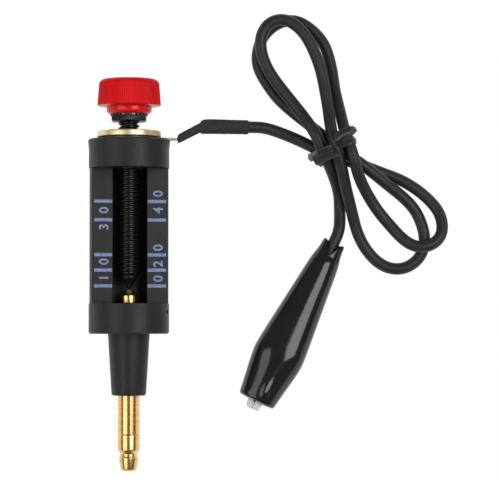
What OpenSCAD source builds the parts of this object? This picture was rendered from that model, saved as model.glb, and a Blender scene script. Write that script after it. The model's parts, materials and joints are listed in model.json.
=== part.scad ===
// Spark plug tester: a screw-adjusted spark gap in a moulded housing, with an
// earth lead that ends in an insulated spring clip. It lies on a table.
// Units are millimetres. X is to the right, Y runs from the brass terminal to the
// knob, and Z is up. The origin is on the table, under the middle of the tester.

/* [Brass terminal] */
// Diameter of the terminal rod that an ignition lead plugs onto
rod_d = 6.35; // [5:0.05:8]
// Length of the terminal that stands out of the neck
terminal_len = 21.9; // [18:0.1:30]
// Diameter of the terminal at its tip
tip_d = 4.7; // [3:0.1:5]
// Length of the tapered tip, up to the lip of the groove
tip_len = 3.9; // [2:0.1:6]
// Diameter of the lip above the taper
lip_d = 5.7; // [5:0.1:6.2]
// Diameter of the snap groove
groove_d = 4.9; // [3:0.1:5]
// Width of the snap groove
groove_w = 1.1; // [0.5:0.1:2]
// Length of the cone between the groove and the full rod
shoulder_len = 1; // [0.5:0.1:2]
// Diameter of the rod inside the neck, where it is moulded in
rod_seat_d = 6.8; // [6.6:0.1:8]
// Diameter of the fixed electrode inside the window
electrode_d = 4.6; // [3:0.1:5]
// Length of the electrode's cylinder above the window floor
electrode_len = 2.3; // [1:0.1:4]
// Length of the electrode's tapered end
electrode_tip = 1.75; // [1:0.05:3]
// Diameter of the flat on the electrode's end
electrode_flat = 1.8; // [0.6:0.1:3]
// Depth of the electrode's seat below the window floor
seat_depth = 4.7; // [3:0.1:7]

/* [Housing] */
// Diameter of the housing
body_d = 23.5; // [21:0.1:28]
// Diameter of the neck at its lower end
neck_d = 10.1; // [9:0.1:12]
// Diameter of the neck where it meets the body
neck_top_d = 12.2; // [11:0.1:16]
// Length of the neck
neck_len = 18; // [12:0.5:30]
// Length of the band below the window
base_len = 8.8; // [7:0.1:14]
// Length of the window
window_len = 39.6; // [36:0.1:60]
// Length of the band above the window
head_len = 8.5; // [6:0.1:14]
// Distance from the axis to the flat scale panel
panel_y = 3; // [1:0.1:6]
// Width of the slot that the spark jumps in
slot_w = 10.2; // [8:0.1:14]
// Depth of the slot behind the axis
slot_back = 6.5; // [4:0.1:8]
// How much slimmer the body is beside the window
waist_cut = 0.2; // [0.1:0.05:0.6]
// How far the rim flares at the top of the body
rim_flare = 0.25; // [0.1:0.05:0.6]
// Height of the flared rim
rim_h = 3; // [1:0.1:5]
// Turn of the housing about its own axis, as it lies
roll = 8; // [0:1:20]
// Diameter of the pin that holds the terminal
pin_d = 1.2; // [0.8:0.1:2]
// Angle of that pin from the middle of the panel
pin_angle = 68; // [40:1:90]

/* [Adjusting screw] */
// Major diameter of the screw thread
screw_d = 6.35; // [5:0.05:8]
// Length of the screw's point
point_len = 4.2; // [2:0.1:6]
// Diameter of the flat on the point
point_d = 0.8; // [0.4:0.1:2]
// Gap between the point and the electrode with the screw right in
spark_gap = 0.3; // [0.2:0.05:1]
// Diameter of the brass flange
flange_d = 18.7; // [16:0.1:22]
// Thickness of the brass flange
flange_t = 1.8; // [1:0.1:3]
// Diameter of the bush under the flange
hub_d = 8.2; // [7.6:0.1:10]
// Bare screw between the flange and the nut
bare_len = 2.7; // [1:0.1:5]
// Width of the lock nut across its flats
nut_af = 10; // [9:0.1:11.5]
// Height of the lock nut
nut_h = 1.8; // [1.5:0.1:4]
// Thickness of the toothed washer
washer_t = 0.5; // [0.3:0.05:1]
// Outer diameter of the toothed washer
washer_d = 11; // [10.8:0.1:12]
// Depth of the washer's teeth
washer_tooth = 0.7; // [0.3:0.05:0.8]
// Teeth on the washer
washer_teeth = 24; // [12:1:32]

/* [Knob] */
// Diameter of the knob at its foot
knob_d = 18.6; // [16:0.1:24]
// Diameter of the knob at its top
knob_top_d = 17.9; // [15:0.1:23]
// Height of the knob's grip
knob_h = 7.8; // [6:0.1:14]
// Radius of the knob's top edge
knob_round = 1.6; // [0.5:0.1:3]
// Diameter of the boss under the grip
boss_d = 13.3; // [12.4:0.1:15]
// Height of the boss
boss_h = 2.9; // [2.5:0.1:5]
// Radius of the boss's lower edge
boss_round = 1.2; // [0.4:0.1:1.5]
// How far the grip's underside slopes from its foot to the boss
under_h = 1.1; // [0.4:0.1:1.5]
// Height over which the grip widens to its foot
foot_h = 3; // [1:0.1:5]
// Outer diameter of the brass insert inside the knob
insert_d = 9; // [8:0.1:11]
// Length of the brass insert
insert_len = 7; // [5:0.1:9]

/* [Ring terminal] */
// Thickness of the ring terminal's sheet
lug_t = 0.6; // [0.4:0.05:1]
// Outer diameter of the ring
ring_d = 15; // [12:0.1:17]
// Width of the tongue beside the ring
tongue_w = 4; // [3:0.1:4.4]
// Distance from the axis to the first bend
bend_in = 14.7; // [13:0.1:18]
// Distance from the axis to the second bend
bend_out = 22; // [20:0.1:24]
// Rise between the two bends
lug_rise = 4; // [1:0.1:5]
// Angle at which the ring terminal points down to the table
lug_droop = 15; // [10:0.5:16]
// Length of the crimped barrel
barrel_len = 6; // [4:0.1:7]
// Distance from the axis to the end of the shrink sleeve
sleeve_end = 36; // [34:0.1:38]
// Wall of the shrink sleeve
sleeve_wall = 0.3; // [0.2:0.05:0.5]
// Thickness of the sleeve where it covers the flat tongue
sleeve_flat = 3; // [2.4:0.1:3.2]

/* [Earth lead] */
// Diameter of the lead
cord_d = 3.5; // [2.5:0.1:3.8]
// Diameter of the bundle of strands inside it
strand_d = 1.9; // [1:0.1:2.2]
// Width of the tie's ribbon
tie_w = 2.2; // [1.5:0.1:3]
// Thickness of the tie's ribbon
tie_t = 0.5; // [0.4:0.05:0.6]

/* [Clip] */
// Length of the clip's soft boot
boot_len = 52.2; // [48:0.1:60]
// Length of the boot's collar
collar_len = 5.8; // [4:0.1:8]
// Diameter of the collar
collar_d = 6.8; // [6:0.05:8]
// How much the collar widens on each side by its middle
collar_flare = 0.2; // [0:0.05:0.6]
// Width of the boot just past the collar
boot_neck_w = 8.6; // [8:0.1:10]
// Distance from the collar's end to the widest place
bulge_at = 37.6; // [34:0.1:42]
// Width of the boot at its widest
bulge_w = 15.2; // [13.5:0.1:18]
// Height of the boot at its widest
bulge_h = 12.4; // [11.5:0.1:16]
// Width of the boot's mouth
mouth_w = 10.9; // [9.5:0.1:12.5]
// Height of the boot's mouth
mouth_h = 9.6; // [9:0.1:11]
// Wall of the boot
boot_wall = 0.9; // [0.6:0.05:1.1]
// How far the jaws stand out of the mouth
jaw_show = 2.7; // [1:0.1:5]
// Length of the jaws in front of the pivot
jaw_len = 20.9; // [17:0.1:25]
// Length of the handles behind the pivot
handle_len = 14; // [10:0.1:16]
// Width of the clip at its pivot
clip_w = 7; // [6.8:0.1:7.4]
// Width of the clip at the ends of its handles
handle_w = 5; // [4.6:0.1:5.4]
// Width of the closed jaws at the nose, across both
nose_h = 4; // [3:0.1:5]
// Width of each jaw's nose along the pivot
nose_w = 3.2; // [2.8:0.1:4]
// Thickness of the clip's sheet
sheet_t = 0.7; // [0.5:0.05:0.8]
// Length of the flat at each jaw's nose, in front of its teeth
nose_flat = 1.5; // [0.5:0.1:3]
// Teeth along each jaw
jaw_teeth = 7; // [4:1:10]
// Depth of each tooth
tooth_h = 0.6; // [0.3:0.05:0.8]
// Diameter of the pivot pin
pivot_d = 2.2; // [1.8:0.1:2.6]
// Diameter of the spring's wire
wire_d = 0.6; // [0.4:0.05:0.65]
// Turns of the spring
spring_turns = 2; // [1:1:2]

/* [Hidden] */
$fn = 64;

// Named clearances
run_gap = 0.05; // a shaft that turns in its hole
seat_gap = 0.05; // a fixed piece in its seat
soft_gap = 0.15; // a soft sleeve round what it covers
free_gap = 0.3; // curved faces that pass each other
over = 1; // how far a cutter runs past a face
edge = 0.4; // broken edges of moulded and turned pieces

// Levels along the tester's axis, from the tip of the terminal
z_neck = terminal_len;
z_body = z_neck + neck_len;
z_window = z_body + base_len;
z_head = z_window + window_len;
z_top = z_head + head_len;
z_flange = z_top + lug_t;
z_bare = z_flange + flange_t;
z_nut = z_bare + bare_len;
z_boss = z_nut + nut_h;
z_grip = z_boss + boss_h;
z_end = z_grip + knob_h;
z_point = z_window + electrode_len + electrode_tip + spark_gap;

body_r = body_d / 2;
rim_r = body_r + rim_flare;
axis_h = rim_r;
cord_r = cord_d / 2;

// The clip lies on the straight underside of its boot, so its nose is up a little
clip_tilt = atan((bulge_h - boot_neck_w) / 2 / (bulge_at - collar_len));
// Levels along the clip, from the end of its collar, and how high that end lies
nose_x = boot_len + jaw_show;
pivot_x = nose_x - jaw_len;
handle_x = pivot_x - handle_len;
boot_z = bulge_h / 2 * cos(clip_tilt) - bulge_at * sin(clip_tilt);

// Lays the upright tester down on the table, knob towards +Y, panel up
module lay_down() {
    translate([0, -z_end / 2, axis_h])
        rotate([-90, 0, 0])
            children();
}

// Brass terminal, turned from one rod, with the fixed electrode at its inner end
module terminal_rod() {
    z_lip = tip_len;
    z_groove = z_lip + groove_w;
    z_full = z_groove + shoulder_len;
    z_seat = z_window - seat_depth;
    z_electrode = z_window + electrode_len;
    color("#d9b56a")
        lay_down()
            rotate_extrude()
                polygon([
                    [0, 0],
                    [tip_d / 2 - edge, 0],
                    [tip_d / 2, edge],
                    [lip_d / 2, z_lip],
                    [groove_d / 2, z_lip],
                    [groove_d / 2, z_groove],
                    [rod_d / 2, z_full],
                    [rod_d / 2, z_neck],
                    [rod_seat_d / 2, z_neck],
                    [rod_seat_d / 2, z_seat],
                    [electrode_d / 2, z_seat],
                    [electrode_d / 2, z_electrode],
                    [electrode_flat / 2, z_electrode + electrode_tip],
                    [0, z_electrode + electrode_tip]
                ]);
}

// Outline of the housing before its window is cut, as a half section
module housing_profile() {
    waist_r = body_r - waist_cut;
    polygon([
        [0, z_neck],
        [neck_d / 2 - edge, z_neck],
        [neck_d / 2, z_neck + edge],
        [neck_top_d / 2, z_body],
        [body_r - edge, z_body],
        [body_r, z_body + edge],
        [body_r, z_window],
        [waist_r, z_window],
        [waist_r, z_head],
        [body_r, z_head],
        [body_r, z_top - rim_h],
        [rim_r, z_top - edge],
        [rim_r - edge, z_top],
        [0, z_top]
    ]);
}

// Moulded housing: a flat scale panel with a blind slot, and bores for the brass
module housing() {
    z_seat = z_window - seat_depth;
    color("#2e2e30")
        lay_down()
            rotate([0, 0, roll])
                difference() {
                    rotate_extrude()
                        housing_profile();
                    translate([-body_d, -panel_y - body_d, z_window])
                        cube([2 * body_d, body_d, window_len]);
                    translate([-slot_w / 2, -body_d, z_window])
                        cube([slot_w, body_d + slot_back, window_len]);
                    translate([0, 0, z_neck - over])
                        cylinder(d = rod_seat_d + 2 * seat_gap, h = z_seat - z_neck + over);
                    translate([0, 0, z_seat - over])
                        cylinder(d = electrode_d + 2 * seat_gap, h = seat_depth + 2 * over);
                    translate([0, 0, z_head - over])
                        cylinder(d = hub_d + 2 * seat_gap, h = head_len + 2 * over);
                    pin_place()
                        cylinder(d = pin_d + 2 * seat_gap, h = body_r + over);
                }
}

// Places a piece along the pin that crosses the lower band, starting on the axis
module pin_place() {
    translate([0, 0, z_window - seat_depth / 2])
        rotate([90, 0, pin_angle])
            children();
}

// Steel pin that holds the terminal in its seat
module retaining_pin() {
    pin_in = electrode_d / 2 + seat_gap;
    color("#3a3a3c")
        lay_down()
            rotate([0, 0, roll])
                pin_place()
                    translate([0, 0, pin_in])
                        cylinder(d = pin_d, h = body_r - edge - pin_in);
}

// Brass flange with the threaded bush that carries the screw
module flange_bush() {
    color("#e2cf95")
        lay_down()
            difference() {
                rotate_extrude()
                    polygon([
                        [0, z_head],
                        [hub_d / 2, z_head],
                        [hub_d / 2, z_flange],
                        [flange_d / 2 - edge / 2, z_flange],
                        [flange_d / 2, z_flange + edge / 2],
                        [flange_d / 2, z_bare - edge / 2],
                        [flange_d / 2 - edge / 2, z_bare],
                        [0, z_bare]
                    ]);
                translate([0, 0, z_head - over])
                    cylinder(d = screw_d + 2 * run_gap, h = z_bare - z_head + 2 * over);
            }
}

// Steel screw with the moving electrode's point at its lower end
module adjusting_screw() {
    color("#1f1f21")
        lay_down()
            rotate_extrude()
                polygon([
                    [0, z_point],
                    [point_d / 2, z_point],
                    [screw_d / 2, z_point + point_len],
                    [screw_d / 2, z_boss + washer_t + insert_len],
                    [0, z_boss + washer_t + insert_len]
                ]);
}

// Hexagonal lock nut under the knob
module lock_nut() {
    across_corners = nut_af / cos(30);
    color("#26242a")
        lay_down()
            difference() {
                intersection() {
                    translate([0, 0, z_nut])
                        rotate(30)
                            cylinder(d = across_corners, h = nut_h, $fn = 6);
                    rotate_extrude()
                        polygon([
                            [0, z_nut],
                            [nut_af / 2 - edge / 2, z_nut],
                            [across_corners / 2 + edge, z_nut + 1.5 * edge],
                            [across_corners / 2 + edge, z_boss],
                            [0, z_boss]
                        ]);
                }
                translate([0, 0, z_nut - over])
                    cylinder(d = screw_d + 2 * seat_gap, h = nut_h + 2 * over);
            }
}

// Toothed lock washer between the nut and the knob
module tooth_washer() {
    root_d = washer_d - 2 * washer_tooth;
    tooth_w = PI * root_d / washer_teeth;
    color("#c9c9cc")
        lay_down()
            translate([0, 0, z_boss])
                linear_extrude(height = washer_t)
                    difference() {
                        union() {
                            circle(d = root_d);
                            for (i = [0 : washer_teeth - 1])
                                rotate(360 * i / washer_teeth)
                                    polygon([
                                        [0, -tooth_w / 2],
                                        [washer_d / 2, -tooth_w / 4],
                                        [washer_d / 2, tooth_w / 4],
                                        [0, tooth_w / 2]
                                    ]);
                        }
                        circle(d = screw_d + 2 * seat_gap);
                    }
}

// Red knob: a boss that sits on the washer, and a grip with a wide foot and a round top edge
module knob() {
    insert_r = insert_d / 2 + run_gap;
    z_insert = z_boss + washer_t;
    z_under = z_grip - under_h;
    round_r = min(boss_round, z_under - z_insert - seat_gap);
    color("#cc1b20")
        lay_down()
            difference() {
                union() {
                    rotate_extrude()
                        polygon([
                            [0, z_insert],
                            for (a = [0 : 30 : 90])
                                [
                                    boss_d / 2 - round_r * (1 - sin(a)),
                                    z_insert + round_r * (1 - cos(a))
                                ],
                            [boss_d / 2, z_under],
                            [knob_d / 2 - edge / 2, z_grip],
                            [knob_d / 2, z_grip + edge],
                            [knob_top_d / 2, z_grip + foot_h],
                            [knob_top_d / 2, z_end - knob_round],
                            [0, z_end - knob_round]
                        ]);
                    rotate_extrude() {
                        translate([knob_top_d / 2 - knob_round, z_end - knob_round])
                            intersection() {
                                circle(r = knob_round);
                                square(knob_round);
                            }
                        translate([0, z_end - knob_round])
                            square([knob_top_d / 2 - knob_round, knob_round]);
                    }
                }
                translate([0, 0, z_insert - over])
                    cylinder(r = insert_r, h = insert_len + over + run_gap);
            }
}

// Plain brass insert inside the knob, round the head of the screw
module knob_insert() {
    z_insert = z_boss + washer_t;
    color("#c8a15a")
        lay_down()
            difference() {
                translate([0, 0, z_insert])
                    cylinder(d = insert_d, h = insert_len);
                translate([0, 0, z_insert - over])
                    cylinder(d = screw_d + 2 * run_gap, h = insert_len + 2 * over);
            }
}

// Frame of the ring terminal: x runs out from the axis, z along the tester's axis
lug_level = z_top + lug_t / 2;
barrel_level = lug_level + lug_rise;
barrel_in = bend_out + 1.5;
barrel_end = barrel_in + barrel_len;
cord_in = barrel_end + 1;
barrel_r = cord_r - free_gap / 2;

module lug_place() {
    lay_down()
        rotate([0, 0, lug_droop])
            children();
}

// The same placing for one point, so that the lead starts inside the sleeve
function on_lug(out) = [
    out * cos(lug_droop),
    barrel_level - z_end / 2,
    axis_h - out * sin(lug_droop)
];

// Copper ring terminal: ring, cranked tongue and crimped barrel
module ring_terminal() {
    half_t = lug_t / 2;
    color("#b98d7c")
        lug_place() {
            difference() {
                union() {
                    translate([0, 0, z_top])
                        cylinder(d = ring_d, h = lug_t);
                    translate([0, tongue_w / 2, 0])
                        rotate([90, 0, 0])
                            linear_extrude(height = tongue_w)
                                polygon([
                                    [0, lug_level - half_t],
                                    [bend_in + half_t, lug_level - half_t],
                                    [bend_out + half_t, barrel_level - half_t],
                                    [barrel_in + half_t, barrel_level - half_t],
                                    [barrel_in + half_t, barrel_level + half_t],
                                    [bend_out, barrel_level + half_t],
                                    [bend_in, lug_level + half_t],
                                    [0, lug_level + half_t]
                                ]);
                }
                translate([0, 0, z_top - over])
                    cylinder(d = hub_d + 2 * seat_gap, h = lug_t + 2 * over);
            }
            difference() {
                translate([barrel_in, 0, barrel_level])
                    rotate([0, 90, 0])
                        cylinder(r = barrel_r, h = barrel_len);
                translate([barrel_in + lug_t, 0, barrel_level])
                    rotate([0, 90, 0])
                        cylinder(d = strand_d + 2 * seat_gap, h = barrel_len);
            }
        }
}

// Bare copper strands in the barrel of the ring terminal
module lug_conductor() {
    strand_in = barrel_in + lug_t + seat_gap;
    color("#c77b45")
        lug_place()
            translate([strand_in, 0, barrel_level])
                rotate([0, 90, 0])
                    cylinder(d = strand_d, h = cord_in - strand_in);
}

// Points of a closed outline round a centre, in the plane of the two given directions
function outline(centre, across, up, half_w, half_h, square_up, sides) = [
    for (i = [0 : sides - 1])
        let (a = 360 * (i + 0.5) / sides)
            centre
            + across * half_w * sign(cos(a)) * pow(abs(cos(a)), 2 / square_up)
            + up * half_h * sign(sin(a)) * pow(abs(sin(a)), 2 / square_up)
];

function flat(lists) = [for (a = lists) for (b = a) b];

// Triangles of the wall that joins a row of outlines, first outline at the given index
function wall(rows, sides, first, flip) = [
    for (r = [0 : rows - 2])
        for (i = [0 : sides - 1])
            let (
                j = (i + 1) % sides,
                a = first + r * sides + i,
                b = first + r * sides + j,
                c = a + sides,
                d = b + sides
            )
                for (t = flip ? [[a, b, d], [a, d, c]] : [[a, d, b], [a, c, d]])
                    t
];

function fan(first, sides, flip) = [
    for (i = [1 : sides - 2])
        flip ? [first, first + i + 1, first + i] : [first, first + i, first + i + 1]
];

// Solid through a row of outlines
module loft(rows) {
    sides = len(rows[0]);
    last = (len(rows) - 1) * sides;
    polyhedron(
        points = flat(rows),
        faces = concat(
            wall(len(rows), sides, 0, false),
            fan(0, sides, false),
            fan(last, sides, true)
        )
    );
}

// Tube with an outer and an inner row of outlines, open at both ends
module loft_tube(outer, inner) {
    sides = len(outer[0]);
    count = len(outer);
    shift = count * sides;
    last = (count - 1) * sides;
    polyhedron(
        points = concat(flat(outer), flat(inner)),
        faces = concat(
            wall(count, sides, 0, false),
            wall(count, sides, shift, true),
            flat([
                for (i = [0 : sides - 1])
                    let (j = (i + 1) % sides)
                        [
                            [i, j, shift + j],
                            [i, shift + j, shift + i],
                            [last + i, last + shift + j, last + j],
                            [last + i, last + shift + i, last + shift + j]
                        ]
            ])
        )
    );
}

// Shrink sleeve: flat over the cranked tongue, round over the barrel and the lead
module lug_sleeve() {
    sides = 24;
    round_r = cord_r + soft_gap;
    flat_w = tongue_w / 2 + soft_gap;
    flat_h = sleeve_flat / 2 - sleeve_wall;
    end_h = lug_t / 2 + 1.5 * free_gap;
    bend = [bend_in, 0, lug_level];
    crank = [bend_out - bend_in, 0, lug_rise];
    rows = [
        [bend + 0.04 * crank, flat_w + soft_gap, end_h],
        [bend + 0.35 * crank, flat_w, flat_h],
        [bend + 0.8 * crank, flat_w, flat_h],
        [[bend_out + 1, 0, barrel_level], flat_w, (flat_h + round_r) / 2],
        [[barrel_in + 1, 0, barrel_level], round_r, round_r],
        [[sleeve_end, 0, barrel_level], round_r, round_r]
    ];
    color("#343436")
        lug_place()
            loft_tube(
                [for (r = rows) sleeve_row(r, sleeve_wall, sides)],
                [for (r = rows) sleeve_row(r, 0, sides)]
            );
}

// One outline of the sleeve, grown by the wall. Inner corners clear the circle inside.
function sleeve_row(r, grow, sides) =
    outline(
        r[0], [0, 1, 0], [0, 0, 1],
        (r[1] + grow) / cos(180 / sides), (r[2] + grow) / cos(180 / sides), 2.6, sides
    );

// Route of the earth lead. Each point is [x, y, height of the lead above the table].
// The first and last points follow the sleeve and the collar, the others are as it lies.
lead_in = [
    [39.5, 44, 0.5], [44, 42.5, 0], [49, 40.5, 0.5], [54, 38, 1]
];
// Two turns, each with a lower loop to the right and an upper loop to the left
turn_one = [
    [58, 36, 1.5], [62, 34.5, 1.5], [66, 33.5, 1], [70.5, 32, 0.5], [75.5, 30, 0],
    [80, 28.5, 0], [85, 25.5, 0], [88.5, 22.5, 0], [91.5, 19, 0.5], [92.5, 15, 2], [92, 11.5, 3],
    [89.5, 9, 4], [86, 8, 4], [82.5, 9, 4], [79.5, 11.5, 3.5], [76.5, 15, 3],
    [73, 19, 3.5], [69.5, 24.5, 5], [67, 29.5, 8], [66, 34, 10], [64.5, 38.5, 9.5],
    [63, 43, 7], [62, 48.5, 4], [60.5, 54.5, 1.5], [60, 59.5, 0.5], [59, 64.5, 0],
    [57.5, 69, 0], [54.5, 72.5, 0], [50.5, 75.5, 0], [46.5, 76, 0], [42.5, 74.5, 0],
    [39, 71, 0], [37.5, 66.5, 0], [37.5, 62, 0], [40, 57.5, 0], [43.5, 52.5, 0],
    [48, 48.5, 0.5], [52.5, 45, 1], [56, 42, 2]
];
turn_two = [
    [60, 39, 4], [64, 35.5, 5.5], [68, 33, 5.5], [72.5, 29.5, 4.5], [77, 26, 2.5],
    [81, 23, 1], [84.5, 19.5, 0], [86.5, 15, 0], [87.5, 10.5, 0], [86.5, 6, 0],
    [83, 2.5, 0], [78.5, 1.5, 0], [74, 3, 0], [70, 7, 0], [67, 12.5, 0.5],
    [65.5, 19, 2.5], [63.5, 26, 5.5], [62, 33.5, 8.5], [60, 38.5, 9.5], [59, 44, 7.5],
    [58.5, 49, 5.5], [57.5, 55, 4.5], [56.5, 60.5, 4], [54.5, 66, 4], [52, 71, 4], [49, 74, 4],
    [45.5, 76, 4], [41, 75, 4], [38.5, 71, 4], [38.5, 67, 4], [39.5, 63, 4],
    [42, 58.5, 4], [45.5, 54, 4], [49.5, 49, 4.5], [52.5, 45, 6], [55, 41, 7.5],
    [56.5, 37, 7], [58.5, 33, 5.5]
];
lead_out = [
    [60.5, 28.5, 3], [62, 24, 0.5], [62, 19, 0]
];
// Where the middle of the collar's end lies, and which way the clip points
collar_x = 60.3;
collar_y = 9.8;
clip_heading = -116.4;

lay = function (list) [for (p = list) [p[0], p[1], p[2] + cord_r]];
step_in = sleeve_end - cord_in;
sleeve_points = [for (k = [-1 : 1]) on_lug(cord_in + k * step_in)];
collar_points = [for (x = [-4, 0.5, 5.5, 10.5, 15.5]) on_clip([x, 0, 0])];
route = concat(
    sleeve_points, lay(lead_in), lay(turn_one), lay(turn_two), lay(lead_out), collar_points
);
// The lead's three nodes meet at these route points
hank_from = len(sleeve_points) + len(lead_in);
hank_to = hank_from + len(turn_one) + len(turn_two) - 1;
tail_to = len(route) - 2;

// Point on the smooth curve that the route points draw, with its direction
function on_curve(u) =
    let (
        i = min(floor(u), len(route) - 3),
        t = u - i,
        p = [for (k = [-1 : 2]) route[i + k]]
    )
        (pow(1 - t, 3) * p[0]
        + (3 * pow(t, 3) - 6 * pow(t, 2) + 4) * p[1]
        + (-3 * pow(t, 3) + 3 * pow(t, 2) + 3 * t + 1) * p[2]
        + pow(t, 3) * p[3]) / 6;

function unit(v) = v / norm(v);

// Ring of the lead's tube at one place on the curve
function cord_ring(u) =
    let (
        small = 0.01,
        ahead = unit(on_curve(min(u + small, tail_to)) - on_curve(max(u - small, 1))),
        across = unit(cross([0, 0, 1], ahead)),
        up = cross(ahead, across)
    )
        outline(on_curve(u), across, up, cord_r, cord_r, 2, 8);

// Stretch of the lead between two places on the curve
module lead_stretch(from, to, per_point) {
    rings = ceil((to - from) * per_point);
    color("#39393b")
        loft([for (k = [0 : rings]) cord_ring(from + (to - from) * k / rings)]);
}

module lead_start() {
    lead_stretch(1, hank_from, 1.5);
}

module lead_hank() {
    lead_stretch(hank_from, hank_to, 1.5);
}

module lead_tail() {
    lead_stretch(hank_to, tail_to, 1.5);
}

// Least gap of the lead to itself, on points that are further apart along it than a bend
gap_points = [for (u = [1 : 0.5 : tail_to]) on_curve(u)];
gap_skip = 6;
least_gap = min([
    for (i = [0 : len(gap_points) - gap_skip - 1])
        for (j = [i + gap_skip : len(gap_points) - 1])
            norm(gap_points[i] - gap_points[j])
]) - cord_d;
echo(least_gap_of_lead = least_gap);
lead_steps = [for (i = [1 : len(gap_points) - 1]) norm(gap_points[i] - gap_points[i - 1])];
echo(length_of_lead = lead_steps * [for (s = lead_steps) 1]);

// Tie round the waist of the hank: where it is and which way each of its turns runs
tie_at = [60.5, 37.5];
tie_turns = [20, 45];
tie_reach = 9;
tie_gap = 0.15;

// Lead under one turn of the ribbon, as [along the ribbon, height]
function tie_points(turn) = [
    for (u = [hank_from - 3 : 0.2 : hank_to + 3])
        let (
            p = on_curve(u),
            q = [p[0], p[1]] - tie_at,
            along = q * [cos(turn), sin(turn)],
            across = q * [sin(turn), -cos(turn)]
        )
            if (abs(along) < tie_reach && abs(across) < (tie_w + cord_d) / 2)
                [along, p[2]]
];
tie_top = max([for (turn = tie_turns) for (p = tie_points(turn)) p[1]]) + cord_r + tie_gap;

// Convex outline round the strands that one turn of the ribbon holds
module tie_hold(turn) {
    hull()
        for (p = tie_points(turn))
            translate(p)
                circle(r = cord_r + tie_gap, $fn = 8);
}

module tie_place(turn, height) {
    translate([tie_at[0], tie_at[1], height])
        rotate([0, 0, turn])
            children();
}

// Black twist tie: two turns of ribbon, a twisted knot on top and two loose ends
module twist_tie() {
    knot_len = 5;
    nub_len = 7.5;
    tail_len = 9.5;
    middle = (tie_turns[0] + tie_turns[1]) / 2;
    color("#1c1c1e") {
        for (turn = tie_turns)
            tie_place(turn, 0)
                rotate([90, 0, 0])
                    linear_extrude(height = tie_w, center = true)
                        difference() {
                            offset(delta = tie_t)
                                tie_hold(turn);
                            tie_hold(turn);
                        }
        tie_place(middle, tie_top + tie_w / 2)
            rotate([90, 0, 0])
                linear_extrude(height = knot_len, center = true, twist = 360, slices = 16, $fn = 8)
                    square([2 * tie_t, tie_w], center = true);
        tie_place(tie_turns[1], tie_top + tie_t / 4)
            translate([0, -tie_w / 2, 0])
                cube([nub_len, tie_w, tie_t]);
        tie_place(middle + 180, tie_top + tie_t / 4)
            linear_extrude(height = tie_t)
                polygon([
                    [0, -tie_w / 2],
                    [tail_len - tie_w / 2, -0.8 * tie_w],
                    [tail_len, 0.6 * tie_w],
                    [0, tie_w / 2]
                ]);
    }
}

// Frame of the clip: x from the collar's end to the nose, z along the pivot
module clip_place() {
    translate([collar_x, collar_y, boot_z])
        rotate([0, 0, clip_heading])
            rotate([0, -clip_tilt, 0])
                children();
}

// The same placing for one point
function on_clip(p) =
    let (
        x = p[0] * cos(clip_tilt) - p[2] * sin(clip_tilt),
        z = p[0] * sin(clip_tilt) + p[2] * cos(clip_tilt)
    )
        [
            collar_x + x * cos(clip_heading) - p[1] * sin(clip_heading),
            collar_y + x * sin(clip_heading) + p[1] * cos(clip_heading),
            boot_z + z
        ];

// Outline of the boot at a few places, as [x, half width, half height, squareness]
boot_rows = [
    [0, collar_d / 2, collar_d / 2, 2],
    [collar_len / 2, collar_d / 2 + collar_flare, collar_d / 2 + collar_flare, 2],
    [collar_len, boot_neck_w / 2, boot_neck_w / 2, 2],
    [(collar_len + bulge_at) / 2, (boot_neck_w + bulge_w) / 4, (boot_neck_w + bulge_h) / 4, 2.2],
    [bulge_at - 2, bulge_w / 2 - edge, bulge_h / 2 - edge / 2, 2.5],
    [bulge_at, bulge_w / 2, bulge_h / 2, 2.6],
    [bulge_at + 2, bulge_w / 2 - edge, bulge_h / 2 - edge, 2.6],
    [boot_len - 1.5, mouth_w / 2 + edge, mouth_h / 2 + edge, 2.4],
    [boot_len, mouth_w / 2 - edge, mouth_h / 2 - edge, 2.3]
];

// Room inside the boot to one side, at a place along it and a height off its middle
function boot_room(x, z) =
    let (
        half_w = lookup(x, [for (r = boot_rows) [r[0], r[1]]]) - boot_wall,
        half_h = lookup(x, [for (r = boot_rows) [r[0], r[2]]]) - boot_wall,
        square_up = lookup(x, [for (r = boot_rows) [r[0], r[3]]])
    )
        half_w * pow(1 - pow(z / half_h, square_up), 1 / square_up);

function boot_row(r, half_w, half_h) =
    outline([r[0], 0, 0], [0, 1, 0], [0, 0, 1], half_w, half_h, r[3], 24);

// Soft boot over the clip, open at the collar and at the mouth
module clip_boot() {
    collar_room = cord_r + 2 * soft_gap;
    color("#222224")
        clip_place()
            loft_tube(
                [for (r = boot_rows) boot_row(r, r[1], r[2])],
                [
                    for (r = boot_rows)
                        let (
                            half_w = r[0] < collar_len ? collar_room : r[1] - boot_wall,
                            half_h = r[0] < collar_len ? collar_room : r[2] - boot_wall
                        )
                            boot_row(r, half_w, half_h)
                ]
            );
}

// Outer edge of a jaw and its handle, as [x, distance from the middle plane]
ear_len = 2; // how far a jaw's ears run each way from the pivot
hump_at = pivot_x + 3; // where a jaw's back starts to slope to the nose
handle_in = 0.6; // how far the handle's end is drawn in
handle_y = boot_room(handle_x, handle_w / 2) - free_gap;
function jaw_back(t) = [
    [nose_x, nose_h / 2 - edge - t],
    [nose_x - edge, nose_h / 2 - t],
    [hump_at, boot_room(hump_at, clip_w / 2) - free_gap - t],
    [pivot_x - ear_len, boot_room(pivot_x - ear_len, clip_w / 2) - free_gap - t],
    [handle_x + ear_len, handle_y - t],
    [handle_x, handle_y - handle_in - t]
];

// Toothed edge of a jaw, from the flat at its nose back to the last tooth
teeth_from = nose_x - nose_flat;
tooth_step = (jaw_len - nose_flat - 6) / jaw_teeth;
function jaw_edge(half_gap, phase) = [
    [nose_x, half_gap],
    for (i = [0 : jaw_teeth - 1])
        for (e = [[0, 0], [0.5, tooth_h]])
            [teeth_from - (i + e[0] + phase) * tooth_step, half_gap + e[1]]
];

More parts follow.
